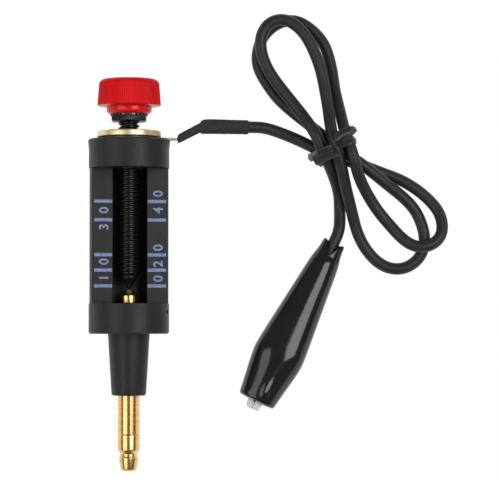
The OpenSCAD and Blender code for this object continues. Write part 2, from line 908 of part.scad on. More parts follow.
// Side of one jaw with its pivot lobe, on the +y side of the middle plane
lobe_r = pivot_d / 2 + 1.2;
cheek_h = 2.6; // how deep the sides are at the pivot
cheek_end = 1; // how deep the sides are at the handle's end
module jaw_side(phase) {
    back = jaw_back(0);
    polygon(concat(
        back,
        [
            [handle_x, handle_y - handle_in - sheet_t - cheek_end],
            [pivot_x - ear_len - over, back[3][1] - cheek_h],
            [pivot_x - ear_len, free_gap / 2 + tooth_h],
            [teeth_from - (jaw_teeth + phase) * tooth_step, free_gap / 2 + tooth_h]
        ],
        [for (i = [2 * jaw_teeth : -1 : 0]) jaw_edge(free_gap / 2, phase)[i]]
    ));
    translate([pivot_x, 0])
        circle(r = lobe_r);
}

// What is hollow between the two sides of a jaw
module jaw_hollow() {
    back = jaw_back(sheet_t);
    polygon(concat(
        [[nose_x + over, -lobe_r - over], [nose_x + over, back[0][1]]],
        back,
        [[handle_x - over, back[len(back) - 1][1]], [handle_x - over, -lobe_r - over]]
    ));
}

// Seen from the back, a jaw is widest at its pivot. Its widths are [handle, pivot, nose].
module jaw_plan(widths) {
    half = widths / 2;
    polygon([
        [handle_x - over, -half[0]], [handle_x, -half[0]],
        [pivot_x - ear_len, -half[1]], [pivot_x + ear_len, -half[1]], [nose_x + over, -half[2]],
        [nose_x + over, half[2]], [pivot_x + ear_len, half[1]], [pivot_x - ear_len, half[1]],
        [handle_x, half[0]], [handle_x - over, half[0]]
    ]);
}

// Cuts a profile seen from the side to widths seen from the back
module jaw_solid(widths) {
    intersection() {
        linear_extrude(height = 2 * clip_w, center = true)
            children();
        rotate([90, 0, 0])
            linear_extrude(height = 4 * bulge_w, center = true)
                jaw_plan(widths);
    }
}

// Pressed jaw: a channel with toothed sides and a hole for the pivot
module jaw(widths, hole_d, phase) {
    sides = 2 * sheet_t * [1, 1, 1];
    difference() {
        jaw_solid(widths)
            jaw_side(phase);
        jaw_solid(widths - sides)
            jaw_hollow();
        translate([pivot_x, 0, -clip_w])
            cylinder(d = hole_d, h = 2 * clip_w);
    }
}

// The moving jaw fits between the sides of the fixed one
nest = 2 * sheet_t + 2 * free_gap;
crimp_from = collar_len + 0.7;
crimp_len = 3.5;
jacket_end = 10.5;
grip_from = jacket_end + 1;
grip_len = 3.5;

// Fixed jaw, with a tail that is crimped round the lead and round its strands
module clip_fixed_jaw() {
    lead_r = cord_r + soft_gap;
    grip_r = strand_d / 2 + seat_gap;
    inside = edge / 4; // how far the tail's inner face stays off the crimps' bores
    end_y = handle_y - handle_in;
    color("#c4c6c8")
        clip_place()
            mirror([0, 1, 0]) {
                jaw([handle_w, clip_w, nose_w], pivot_d + 2 * seat_gap, 0);
                translate([0, 0, -tongue_w / 2])
                    linear_extrude(height = tongue_w)
                        polygon([
                            [handle_x + 1, end_y - sheet_t],
                            [handle_x + 1, end_y],
                            [handle_x, end_y],
                            [grip_from + grip_len, grip_r + sheet_t],
                            [grip_from, grip_r + sheet_t],
                            [crimp_from + crimp_len, lead_r + sheet_t],
                            [crimp_from, lead_r + sheet_t],
                            [crimp_from, lead_r + inside],
                            [crimp_from + crimp_len, lead_r + inside],
                            [grip_from, grip_r + inside],
                            [grip_from + grip_len, grip_r + inside],
                            [handle_x, end_y - sheet_t]
                        ]);
                crimp(crimp_from, crimp_len, lead_r);
                crimp(grip_from, grip_len, grip_r);
            }
}

// One closed crimp round the lead's axis
module crimp(from, length, inner_r) {
    translate([from, 0, 0])
        rotate([0, 90, 0])
            difference() {
                cylinder(r = inner_r + sheet_t, h = length);
                translate([0, 0, -over])
                    cylinder(r = inner_r, h = length + 2 * over);
            }
}

// Moving jaw, which turns on the pivot
module clip_moving_jaw() {
    color("#cdd0d2")
        clip_place()
            jaw([handle_w - nest, clip_w - nest, nose_w], pivot_d + 2 * run_gap, 0.5);
}

// Riveted pivot pin
module clip_pivot_pin() {
    head_t = 0.5;
    color("#b5b7b9")
        clip_place()
            translate([pivot_x, 0, 0]) {
                cylinder(d = pivot_d, h = clip_w, center = true);
                for (side = [-1, 1])
                    translate([0, 0, side * (clip_w + head_t) / 2])
                        cylinder(d = pivot_d + 2 * edge, h = head_t, center = true);
            }
}

// Torsion spring: its coil round the pivot and two legs under the handles
module clip_spring() {
    coil_r = pivot_d / 2 + free_gap + wire_d / 2;
    pitch = wire_d + 0.45;
    leg_x = handle_len / 2;
    leg_y = handle_y - sheet_t - free_gap - wire_d / 2;
    per_turn = 12;
    half = (spring_turns + 0.5) * pitch / 2;
    leg_z = half / 2;
    coil = [
        for (k = [0 : per_turn * spring_turns + per_turn / 2])
            let (a = 90 + 360 * k / per_turn, z = -half + pitch * k / per_turn)
                [coil_r * cos(a), coil_r * sin(a), z]
    ];
    path = concat(
        [[-leg_x, leg_y, -leg_z], [-leg_x + 1, leg_y, -leg_z]], coil,
        [[-leg_x + 1, -leg_y, leg_z], [-leg_x, -leg_y, leg_z]]
    );
    color("#9fa1a3")
        clip_place()
            translate([pivot_x, 0, 0])
                loft([for (i = [0 : len(path) - 1]) wire_ring(path, i)]);
}

function wire_ring(path, i) =
    let (
        last = len(path) - 1,
        ahead = unit(path[min(i + 1, last)] - path[max(i - 1, 0)]),
        across = unit(cross([0, 0, 1], ahead)),
        up = cross(ahead, across)
    )
        outline(path[i], across, up, wire_d / 2, wire_d / 2, 2, 6);

// Bare copper strands held by the inner crimp of the fixed jaw
module clip_conductor() {
    color("#c77b45")
        clip_place()
            translate([jacket_end, 0, 0])
                rotate([0, 90, 0])
                    cylinder(d = strand_d, h = grip_from + grip_len - jacket_end + 1);
}

housing();
terminal_rod();
retaining_pin();
flange_bush();
adjusting_screw();
lock_nut();
tooth_washer();
knob();
knob_insert();
ring_terminal();
lug_conductor();
lug_sleeve();
lead_start();
lead_hank();
lead_tail();
twist_tie();
clip_boot();
clip_fixed_jaw();
clip_moving_jaw();
clip_pivot_pin();
clip_spring();
clip_conductor();
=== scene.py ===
"""Looks of a spark plug tester that lies on a table with its earth lead tied in a hank."""
import json
import math

import bmesh
import bpy
from mathutils import Matrix, Vector, noise

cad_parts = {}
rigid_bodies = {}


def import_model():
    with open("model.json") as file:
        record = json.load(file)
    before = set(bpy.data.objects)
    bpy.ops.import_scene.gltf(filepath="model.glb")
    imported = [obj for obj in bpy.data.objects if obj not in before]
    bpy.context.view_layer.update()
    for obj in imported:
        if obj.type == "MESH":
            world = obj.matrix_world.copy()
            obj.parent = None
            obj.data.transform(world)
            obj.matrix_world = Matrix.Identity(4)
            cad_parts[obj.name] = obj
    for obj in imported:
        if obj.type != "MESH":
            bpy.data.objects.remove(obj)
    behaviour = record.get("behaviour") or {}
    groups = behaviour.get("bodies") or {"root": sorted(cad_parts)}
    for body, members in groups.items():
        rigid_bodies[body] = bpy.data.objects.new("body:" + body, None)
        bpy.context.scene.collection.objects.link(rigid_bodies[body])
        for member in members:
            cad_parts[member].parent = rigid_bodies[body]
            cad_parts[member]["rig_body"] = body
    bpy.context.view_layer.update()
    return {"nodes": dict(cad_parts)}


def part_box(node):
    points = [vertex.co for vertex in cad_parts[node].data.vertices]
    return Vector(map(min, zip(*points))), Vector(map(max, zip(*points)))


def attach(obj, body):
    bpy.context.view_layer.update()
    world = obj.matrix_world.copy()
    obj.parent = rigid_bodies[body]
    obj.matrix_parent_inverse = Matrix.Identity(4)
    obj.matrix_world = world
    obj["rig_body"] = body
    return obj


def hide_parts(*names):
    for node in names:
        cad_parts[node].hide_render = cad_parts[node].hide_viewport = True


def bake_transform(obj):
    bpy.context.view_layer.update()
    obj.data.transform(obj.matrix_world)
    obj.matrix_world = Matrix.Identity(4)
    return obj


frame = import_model()
scene = bpy.context.scene

MM = 0.001
METRES = Matrix.Scale(MM, 4)
SIDE, UP = Vector((0, 1, 0)), Vector((0, 0, 1))
WHITE = (1, 1, 1, 1)

# Places in the frame, in millimetres. The tester's own levels run along +Y from its tip.
TIP_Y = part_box("terminal_rod")[0].y / MM
AXIS_H = (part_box("flange_bush")[0].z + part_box("flange_bush")[1].z) / 2 / MM
UPRIGHT = Matrix.Translation((0, TIP_Y, AXIS_H)) @ Matrix.Rotation(math.radians(-90), 4, "X")


def level(node, end):
    """Level of a node's lower (0) or upper (1) end along the tester, in millimetres."""
    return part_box(node)[end].y / MM - TIP_Y


# Materials

# Most values of a noise lie between these
NOISE_LOW, NOISE_HIGH = 0.3, 0.7
# Stretches of the noise: marks that run round the tester's axis, or along it
AROUND = (0.04, 1, 0.04)
ALONG = (1, 0.06, 1)


def srgb(red, green, blue):
    """Linear colour of an sRGB triple from 0 to 255, with alpha."""
    parts = [c / 255 for c in (red, green, blue)]
    return tuple(c / 12.92 if c <= 0.04045 else ((c + 0.055) / 1.055) ** 2.4 for c in parts) + (1.0,)


def surface(name, dark, light, mottle, grain, bump, rough, stretch=(1, 1, 1), **constants):
    """Principled material with noise in its colour, roughness and relief. Sizes are in millimetres."""
    mat = bpy.data.materials.new(name)
    mat.use_nodes = True
    tree = mat.node_tree
    link = tree.links.new
    shader = tree.nodes["Principled BSDF"]
    for socket, value in constants.items():
        shader.inputs[socket.replace("_", " ")].default_value = value
    coords = tree.nodes.new("ShaderNodeTexCoord")
    mapping = tree.nodes.new("ShaderNodeMapping")
    mapping.inputs["Scale"].default_value = stretch
    link(coords.outputs["Object"], mapping.inputs["Vector"])

    broad = tree.nodes.new("ShaderNodeTexNoise")
    broad.inputs["Scale"].default_value = 1 / (mottle * MM)
    broad.inputs["Detail"].default_value = 5
    link(mapping.outputs["Vector"], broad.inputs["Vector"])
    ramp = tree.nodes.new("ShaderNodeValToRGB")
    ramp.color_ramp.elements[0].position = NOISE_LOW
    ramp.color_ramp.elements[0].color = dark
    ramp.color_ramp.elements[1].position = NOISE_HIGH
    ramp.color_ramp.elements[1].color = light
    link(broad.outputs["Fac"], ramp.inputs["Fac"])
    link(ramp.outputs["Color"], shader.inputs["Base Color"])

    fine = tree.nodes.new("ShaderNodeTexNoise")
    fine.inputs["Scale"].default_value = 1 / (grain * MM)
    fine.inputs["Detail"].default_value = 3
    link(mapping.outputs["Vector"], fine.inputs["Vector"])
    spread = tree.nodes.new("ShaderNodeMapRange")
    spread.inputs["From Min"].default_value = NOISE_LOW
    spread.inputs["From Max"].default_value = NOISE_HIGH
    spread.inputs["To Min"].default_value = rough[0]
    spread.inputs["To Max"].default_value = rough[1]
    link(fine.outputs["Fac"], spread.inputs["Value"])
    link(spread.outputs["Result"], shader.inputs["Roughness"])
    relief = tree.nodes.new("ShaderNodeBump")
    relief.inputs["Strength"].default_value = 1
    relief.inputs["Distance"].default_value = bump * MM
    link(fine.outputs["Fac"], relief.inputs["Height"])
    link(relief.outputs["Normal"], shader.inputs["Normal"])
    return mat


HOUSING = surface(
    "housing_plastic", srgb(20, 20, 21), srgb(26, 26, 27), mottle=2.5, grain=0.25, bump=0.012,
    rough=(0.42, 0.55), stretch=ALONG, Specular_IOR_Level=0.4,
)
ROD_BRASS = surface(
    "terminal_brass", srgb(224, 170, 102), srgb(246, 204, 140), mottle=0.6, grain=0.3, bump=0.0005,
    rough=(0.2, 0.26), stretch=AROUND, Metallic=1.0,
)
FLANGE_BRASS = surface(
    "flange_brass", srgb(230, 214, 166), srgb(242, 229, 186), mottle=0.8, grain=0.2, bump=0.001,
    rough=(0.36, 0.46), stretch=AROUND, Metallic=1.0,
)
BLACK_STEEL = surface(
    "black_steel", srgb(14, 14, 16), srgb(22, 22, 25), mottle=1.0, grain=0.2, bump=0.004,
    rough=(0.26, 0.38), Metallic=0.2,
)
DARK_STEEL = surface(
    "dark_steel", srgb(34, 34, 36), srgb(50, 50, 52), mottle=1.0, grain=0.2, bump=0.006,
    rough=(0.4, 0.55), Metallic=0.6,
)
BRIGHT_STEEL = surface(
    "bright_steel", srgb(190, 190, 194), srgb(214, 214, 216), mottle=1.0, grain=0.2, bump=0.004,
    rough=(0.2, 0.35), Metallic=1.0,
)
PLATED_STEEL = surface(
    "plated_steel", srgb(222, 224, 226), srgb(238, 239, 240), mottle=1.2, grain=0.3, bump=0.002,
    rough=(0.42, 0.55), Metallic=1.0,
)
RED = surface(
    "red_plastic", srgb(201, 6, 12), srgb(211, 12, 17), mottle=3.0, grain=0.3, bump=0.008,
    rough=(0.3, 0.42), Specular_IOR_Level=0.12,
)
RED_GLOSS = surface(
    "red_gloss", srgb(200, 6, 12), srgb(208, 12, 16), mottle=3.0, grain=0.3, bump=0.002,
    rough=(0.2, 0.26), Specular_IOR_Level=0.35,
)
WASHER = surface(
    "washer_steel", srgb(74, 74, 76), srgb(104, 104, 106), mottle=0.6, grain=0.2, bump=0.004,
    rough=(0.28, 0.4), Metallic=1.0,
)
COPPER = surface(
    "copper", srgb(124, 102, 96), srgb(152, 130, 124), mottle=0.8, grain=0.2, bump=0.005,
    rough=(0.35, 0.5), Metallic=1.0,
)
SLEEVE = surface(
    "shrink_sleeve", srgb(43, 43, 44), srgb(51, 51, 52), mottle=1.5, grain=0.3, bump=0.02,
    rough=(0.62, 0.78), Specular_IOR_Level=0.22,
)
JACKET = surface(
    "lead_jacket", srgb(31, 31, 32), srgb(37, 37, 38), mottle=4.0, grain=0.4, bump=0.008,
    rough=(0.4, 0.52), Specular_IOR_Level=0.38,
)
RIBBON = surface(
    "tie_ribbon", srgb(30, 30, 31), srgb(40, 40, 41), mottle=0.8, grain=0.25, bump=0.02, rough=(0.35, 0.5),
)
VINYL = surface(
    "boot_vinyl", srgb(24, 24, 24), srgb(29, 29, 29), mottle=6.0, grain=1.5, bump=0.008, rough=(0.1, 0.17),
)
INK = surface(
    "scale_ink", srgb(84, 102, 146), srgb(130, 148, 184), mottle=0.5, grain=0.2, bump=0.004,
    rough=(0.5, 0.65),
)


# Stage: camera, floor and light

PIXELS, PIXEL_MM = 500, 0.2925
SENSOR = 36
LOOK_AT = Vector((35.4, 7.2, AXIS_H)) * MM
CAMERA_AT = Vector((35.4, -14.8, AXIS_H + 720)) * MM

camera_data = bpy.data.cameras.new("camera")
camera_data.sensor_width = SENSOR
camera_data.lens = SENSOR * (CAMERA_AT - LOOK_AT).length / (PIXELS * PIXEL_MM * MM)
camera_data.clip_end = 20
camera = bpy.data.objects.new("camera", camera_data)
camera.location = CAMERA_AT
camera.rotation_euler = (math.atan2(LOOK_AT.y - CAMERA_AT.y, CAMERA_AT.z - LOOK_AT.z), 0, 0)
scene.collection.objects.link(camera)
scene.camera = camera
scene.view_settings.view_transform = "Standard"


def seen_or_mirrored(tree):
    """Socket that is 1 for rays from the camera and for mirrored and refracted rays."""
    path = tree.nodes.new("ShaderNodeLightPath")
    seen = path.outputs["Is Camera Ray"]
    for kind in ("Is Glossy Ray", "Is Transmission Ray"):
        either = tree.nodes.new("ShaderNodeMath")
        either.operation = "MAXIMUM"
        tree.links.new(seen, either.inputs[0])
        tree.links.new(path.outputs[kind], either.inputs[1])
        seen = either.outputs["Value"]
    return seen


def make_world(fill, ceiling):
    """World that lights evenly. The camera and mirrors see it white at the horizon and dim above."""
    horizon, overhead = 0.02, 0.2
    world = bpy.data.worlds.new("studio")
    world.use_nodes = True
    tree = world.node_tree
    even = tree.nodes["Background"]
    even.inputs["Color"].default_value = WHITE
    even.inputs["Strength"].default_value = fill
    coords = tree.nodes.new("ShaderNodeTexCoord")
    parts = tree.nodes.new("ShaderNodeSeparateXYZ")
    tree.links.new(coords.outputs["Generated"], parts.inputs["Vector"])
    ramp = tree.nodes.new("ShaderNodeValToRGB")
    ramp.color_ramp.interpolation = "EASE"
    ramp.color_ramp.elements[0].position = horizon
    ramp.color_ramp.elements[0].color = WHITE
    ramp.color_ramp.elements[1].position = overhead
    ramp.color_ramp.elements[1].color = (ceiling, ceiling, ceiling, 1)
    tree.links.new(parts.outputs["Z"], ramp.inputs["Fac"])
    shown = tree.nodes.new("ShaderNodeBackground")
    tree.links.new(ramp.outputs["Color"], shown.inputs["Color"])
    mix = tree.nodes.new("ShaderNodeMixShader")
    tree.links.new(seen_or_mirrored(tree), mix.inputs["Fac"])
    tree.links.new(even.outputs["Background"], mix.inputs[1])
    tree.links.new(shown.outputs["Background"], mix.inputs[2])
    tree.links.new(mix.outputs["Shader"], tree.nodes["World Output"].inputs["Surface"])
    scene.world = world


def make_floor(size, glow, white_level):
    """White floor that glows for the camera and still takes the object's shadow."""
    grey = 0.6
    mat = bpy.data.materials.new("floor_white")
    mat.use_nodes = True
    tree = mat.node_tree
    tree.nodes.remove(tree.nodes["Principled BSDF"])
    paper = tree.nodes.new("ShaderNodeBsdfDiffuse")
    paper.inputs["Color"].default_value = (grey, grey, grey, 1)
    white = tree.nodes.new("ShaderNodeEmission")
    white.inputs["Color"].default_value = WHITE
    white.inputs["Strength"].default_value = white_level
    share = tree.nodes.new("ShaderNodeMath")
    share.operation = "MULTIPLY"
    share.inputs[1].default_value = glow
    tree.links.new(seen_or_mirrored(tree), share.inputs[0])
    mix = tree.nodes.new("ShaderNodeMixShader")
    tree.links.new(share.outputs["Value"], mix.inputs["Fac"])
    tree.links.new(paper.outputs["BSDF"], mix.inputs[1])
    tree.links.new(white.outputs["Emission"], mix.inputs[2])
    tree.links.new(mix.outputs["Shader"], tree.nodes["Material Output"].inputs["Surface"])
    bm = bmesh.new()
    bmesh.ops.create_grid(bm, x_segments=1, y_segments=1, size=size)
    mesh = bpy.data.meshes.new("floor")
    bm.to_mesh(mesh)
    bm.free()
    floor = bpy.data.objects.new("floor", mesh)
    floor.data.materials.append(mat)
    scene.collection.objects.link(floor)


def softbox(name, at, aim, size, power):
    """Rectangular lamp at a place, in metres, turned to a point."""
    data = bpy.data.lights.new(name, "AREA")
    data.shape = "RECTANGLE"
    data.size, data.size_y = size
    data.energy = power
    lamp = bpy.data.objects.new(name, data)
    lamp.location = at
    lamp.rotation_euler = (Vector(aim) - Vector(at)).to_track_quat("-Z", "Y").to_euler()
    scene.collection.objects.link(lamp)


make_world(fill=0.45, ceiling=0.12)
make_floor(size=1.5, glow=0.95, white_level=1.04)
softbox("right_box", (0.46, 0.09, 0.72), LOOK_AT, size=(0.53, 0.46), power=3.4)
softbox("left_box", (-0.46, -0.08, 0.63), LOOK_AT, size=(0.62, 0.55), power=2.2)


# Making pieces


def finish_piece(name, bm, mat, body, nodes=(), sharp=35):
    """Turns a bmesh in metres into a piece that rides a body and stands for the given nodes."""
    mesh = bpy.data.meshes.new(name)
    bm.normal_update()
    bm.to_mesh(mesh)
    bm.free()
    mesh.shade_smooth()
    mesh.set_sharp_from_angle(angle=math.radians(sharp))
    piece = bpy.data.objects.new(name, mesh)
    piece.data.materials.append(mat)
    scene.collection.objects.link(piece)
    if body:
        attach(piece, body)
    if nodes:
        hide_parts(*nodes)
    return piece


def place(bm, matrix):
    """Moves a bmesh from millimetres in its own frame to metres in the shared frame."""
    bmesh.ops.transform(bm, matrix=METRES @ matrix, verts=bm.verts)


def loft(rings, closed=False, caps=True):
    """Bmesh through a row of rings, each a list of points."""
    bm = bmesh.new()
    rows = [[bm.verts.new(p) for p in ring] for ring in rings]
    sides = len(rows[0])
    pairs = list(zip(rows, rows[1:]))
    if closed:
        pairs.append((rows[-1], rows[0]))
    for low, high in pairs:
        for i in range(sides):
            j = (i + 1) % sides
            bm.faces.new((low[i], low[j], high[j], high[i]))
    if caps and not closed:
        bm.faces.new(reversed(rows[0]))
        bm.faces.new(rows[-1])
    bmesh.ops.recalc_face_normals(bm, faces=bm.faces)
    return bm


def softened(points, radius):
    """Outline with each inner corner rounded. Points are pairs in millimetres."""
    steps, side_share = 4, 0.45
    out = [Vector(points[0])]
    for before, corner, after in zip(points, points[1:], points[2:]):
        before, corner, after = Vector(before), Vector(corner), Vector(after)
        back, on = before - corner, after - corner
        reach = min(radius, side_share * back.length, side_share * on.length)
        start, end = corner + back.normalized() * reach, corner + on.normalized() * reach
        for k in range(steps + 1):
            t = k / steps
            out.append(start * (1 - t) ** 2 + corner * 2 * t * (1 - t) + end * t**2)
    out.append(Vector(points[-1]))
    return out


def lathe(profile, segments, ribs=None):
    """Bmesh turned round z from an outline of (radius, level). ribs may change a radius by its angle."""
    weld = 1e-4
    ribs = ribs or (lambda radius, height, angle: radius)
    rings = []
    for radius, height in profile:
        ring = []
        for s in range(segments):
            angle = 2 * math.pi * s / segments
            r = ribs(radius, height, angle)
            ring.append((r * math.cos(angle), r * math.sin(angle), height))
        rings.append(ring)
    bm = loft(rings, caps=False)
    bmesh.ops.remove_doubles(bm, verts=bm.verts, dist=weld)
    bmesh.ops.recalc_face_normals(bm, faces=bm.faces)
    return bm


def turned(name, profile, mat, body, node, segments, sharp=50, ribs=None):
    """Piece that is turned round the tester's axis and stands for a node."""
    bm = lathe(profile, segments, ribs)
    place(bm, UPRIGHT)
    finish_piece(name, bm, mat, body, [node], sharp)


def joined_copy(node):
    """Bmesh of a CAD node's mesh with its seams joined."""
    weld = 1e-6
    bm = bmesh.new()
    bm.from_mesh(frame["nodes"][node].data)
    bmesh.ops.remove_doubles(bm, verts=bm.verts, dist=weld)
    return bm


def rounded_copy(name, node, mat, width):
    """Copy of a CAD node with its sharp edges rounded, which stands for it."""
    flat, edge = math.radians(0.5), math.radians(30)
    bm = joined_copy(node)
    bmesh.ops.dissolve_limit(
        bm, angle_limit=flat, verts=bm.verts, edges=bm.edges, use_dissolve_boundaries=False,
    )
    piece = finish_piece(name, bm, mat, frame["nodes"][node]["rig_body"], [node])
    bevel = piece.modifiers.new("edges", "BEVEL")
    bevel.width = width * MM
    bevel.segments = 2
    bevel.limit_method = "ANGLE"
    bevel.angle_limit = edge
    return piece


def evaluated_mesh(thing):
    """New mesh of an object with its modifiers or its text worked out."""
    bpy.context.view_layer.update()
    return bpy.data.meshes.new_from_object(thing.evaluated_get(bpy.context.evaluated_depsgraph_get()))


def dress(node, mat):
    """Gives a CAD node that stays its material."""
    mesh = frame["nodes"][node].data
    mesh.materials.clear()
    mesh.materials.append(mat)
    mesh.polygons.foreach_set("material_index", [0] * len(mesh.polygons))


# Earth lead. The route is the one of the solids: [x, y, height of its underside] in millimetres.

CORD_D = 3.5
LEAD_IN = [
    [39.5, 44, 0.5], [44, 42.5, 0], [49, 40.5, 0.5], [54, 38, 1],
]
TURN_ONE = [
    [58, 36, 1.5], [62, 34.5, 1.5], [66, 33.5, 1], [70.5, 32, 0.5], [75.5, 30, 0],
    [80, 28.5, 0], [85, 25.5, 0], [88.5, 22.5, 0], [91.5, 19, 0.5], [92.5, 15, 2], [92, 11.5, 3],
    [89.5, 9, 4], [86, 8, 4], [82.5, 9, 4], [79.5, 11.5, 3.5], [76.5, 15, 3],
    [73, 19, 3.5], [69.5, 24.5, 5], [67, 29.5, 8], [66, 34, 10], [64.5, 38.5, 9.5],
    [63, 43, 7], [62, 48.5, 4], [60.5, 54.5, 1.5], [60, 59.5, 0.5], [59, 64.5, 0],
    [57.5, 69, 0], [54.5, 72.5, 0], [50.5, 75.5, 0], [46.5, 76, 0], [42.5, 74.5, 0],
    [39, 71, 0], [37.5, 66.5, 0], [37.5, 62, 0], [40, 57.5, 0], [43.5, 52.5, 0],
    [48, 48.5, 0.5], [52.5, 45, 1], [56, 42, 2],
]
TURN_TWO = [
    [60, 39, 4], [64, 35.5, 5.5], [68, 33, 5.5], [72.5, 29.5, 4.5], [77, 26, 2.5],
    [81, 23, 1], [84.5, 19.5, 0], [86.5, 15, 0], [87.5, 10.5, 0], [86.5, 6, 0],
    [83, 2.5, 0], [78.5, 1.5, 0], [74, 3, 0], [70, 7, 0], [67, 12.5, 0.5],
    [65.5, 19, 2.5], [63.5, 26, 5.5], [62, 33.5, 8.5], [60, 38.5, 9.5], [59, 44, 7.5],
    [58.5, 49, 5.5], [57.5, 55, 4.5], [56.5, 60.5, 4], [54.5, 66, 4], [52, 71, 4], [49, 74, 4],
    [45.5, 76, 4], [41, 75, 4], [38.5, 71, 4], [38.5, 67, 4], [39.5, 63, 4],
    [42, 58.5, 4], [45.5, 54, 4], [49.5, 49, 4.5], [52.5, 45, 6], [55, 41, 7.5],
    [56.5, 37, 7], [58.5, 33, 5.5],
]
LEAD_OUT = [
    [60.5, 28.5, 3], [62, 24, 0.5], [62, 19, 0],
]

# The ring terminal's frame: x runs out from the tester's axis, z along it
LUG_DROOP = math.radians(15)
LUG = UPRIGHT @ Matrix.Rotation(LUG_DROOP, 4, "Z")
FLANGE_T, LUG_T, LUG_RISE = 1.8, 0.6, 4
LUG_LEVEL = level("flange_bush", 1) - FLANGE_T - LUG_T / 2
BARREL_LEVEL = LUG_LEVEL + LUG_RISE
CORD_START, SLEEVE_END = 30.5, 36

# The clip's frame: x runs from the end of its collar to its nose, z along its pivot
COLLAR_X, COLLAR_Y, CLIP_HEADING = 60.3, 9.8, math.radians(-116.4)
BULGE_AT, BULGE_H, NECK_W, COLLAR_LEN = 37.6, 12.4, 8.6, 5.8
JAW_TEETH_FROM, PIVOT_X = 39.5, 34
CORD_IN_CLIP = (-4, 0.5, 5.5, 10.5, 15.5)  # the lead's last control points, along x
CLIP_TILT = math.atan((BULGE_H - NECK_W) / 2 / (BULGE_AT - COLLAR_LEN))
CLIP_Z = BULGE_H / 2 * math.cos(CLIP_TILT) - BULGE_AT * math.sin(CLIP_TILT)
CLIP = (
    Matrix.Translation((COLLAR_X, COLLAR_Y, CLIP_Z))
    @ Matrix.Rotation(CLIP_HEADING, 4, "Z")
    @ Matrix.Rotation(-CLIP_TILT, 4, "Y")
)
OUT_OF_CLIP = METRES @ CLIP
INTO_CLIP = OUT_OF_CLIP.inverted()


def lead_route():
    """All control points of the lead, in millimetres."""
    step = SLEEVE_END - CORD_START
    first = [LUG @ Vector((CORD_START + k * step, 0, BARREL_LEVEL)) for k in (-1, 0, 1)]
    laid = LEAD_IN + TURN_ONE + TURN_TWO + LEAD_OUT
    middle = [Vector((x, y, lift + CORD_D / 2)) for x, y, lift in laid]
    last = [CLIP @ Vector((x, 0, 0)) for x in CORD_IN_CLIP]
    return first + middle + last


ROUTE = lead_route()


def on_lead(u):
    """Point of the lead's cubic B-spline, in millimetres. A whole u lies near that control point."""
    i = min(int(u), len(ROUTE) - 3)
    t = u - i
    a, b, c, d = ROUTE[i - 1 : i + 3]
    near, far = 3 * t**3 - 6 * t**2 + 4, -3 * t**3 + 3 * t**2 + 3 * t + 1
    return (a * (1 - t) ** 3 + b * near + c * far + d * t**3) / 6


def make_lead():
    """The lead as one curve with a round section."""
    curve = bpy.data.curves.new("earth_lead", "CURVE")
    curve.dimensions = "3D"
    spline = curve.splines.new("NURBS")
    spline.points.add(len(ROUTE) - 1)
    for point, at in zip(spline.points, ROUTE):
        point.co = (*(at * MM), 1)
    spline.order_u = 4
    spline.resolution_u = 8
    curve.bevel_depth = CORD_D / 2 * MM
    curve.bevel_resolution = 6
    curve.use_fill_caps = True
    lead = bpy.data.objects.new("earth_lead", curve)
    lead.data.materials.append(JACKET)
    scene.collection.objects.link(lead)
    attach(lead, "tester")
    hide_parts("lead_start", "lead_hank", "lead_tail")
    return lead


earth_lead = make_lead()


# Tester

ROD_R, BORE_R = 3.175, 3.225


def make_terminal():
    """Brass rod with its snap groove, a thin turned line and the electrode in the window."""
    electrode_len, seat_len, seat_r, electrode_r = 4.05, 4.7, 3.4, 2.3
    line_at, line_w, line_depth, line_edge = 10.65, 0.3, 0.14, 0.03
    neck, window = level("housing", 0), level("terminal_rod", 1) - electrode_len
    tip = [(0, 0), (1.95, 0), (2.35, 0.4), (2.85, 3.9)]
    groove = [(2.45, 4.05), (2.45, 5), (ROD_R, 6)]
    line = [(ROD_R, line_at - line_w), (ROD_R - line_depth, line_at - line_edge), (ROD_R, line_at)]
    seat = [(ROD_R, neck), (seat_r, neck), (seat_r, window - seat_len), (electrode_r, window - seat_len)]
    # Radius and height above the window's lower end
    electrode = [
        (electrode_r, 0.1), (2.55, 0.15), (2.55, 2.4), (1.95, 2.95), (1.65, 3.1), (1.3, 4.0),
        (0, electrode_len),
    ]
    outline = tip + groove + line + seat + [(r, window + height) for r, height in electrode]
    profile = softened(outline, radius=0.18)
    turned("terminal", profile, ROD_BRASS, "tester", "terminal_rod", segments=96)


def make_flange():
    """Pale brass flange with its bush."""
    low, high = level("flange_bush", 0), level("flange_bush", 1)
    hub, rim, under = 4.1, 9.35, high - FLANGE_T
    outline = [
        (BORE_R, low), (hub, low), (hub, under), (rim, under), (rim, high), (BORE_R, high), (BORE_R, low),
    ]
    profile = softened(outline, radius=0.3)
    turned("flange", profile, FLANGE_BRASS, "tester", "flange_bush", segments=128)


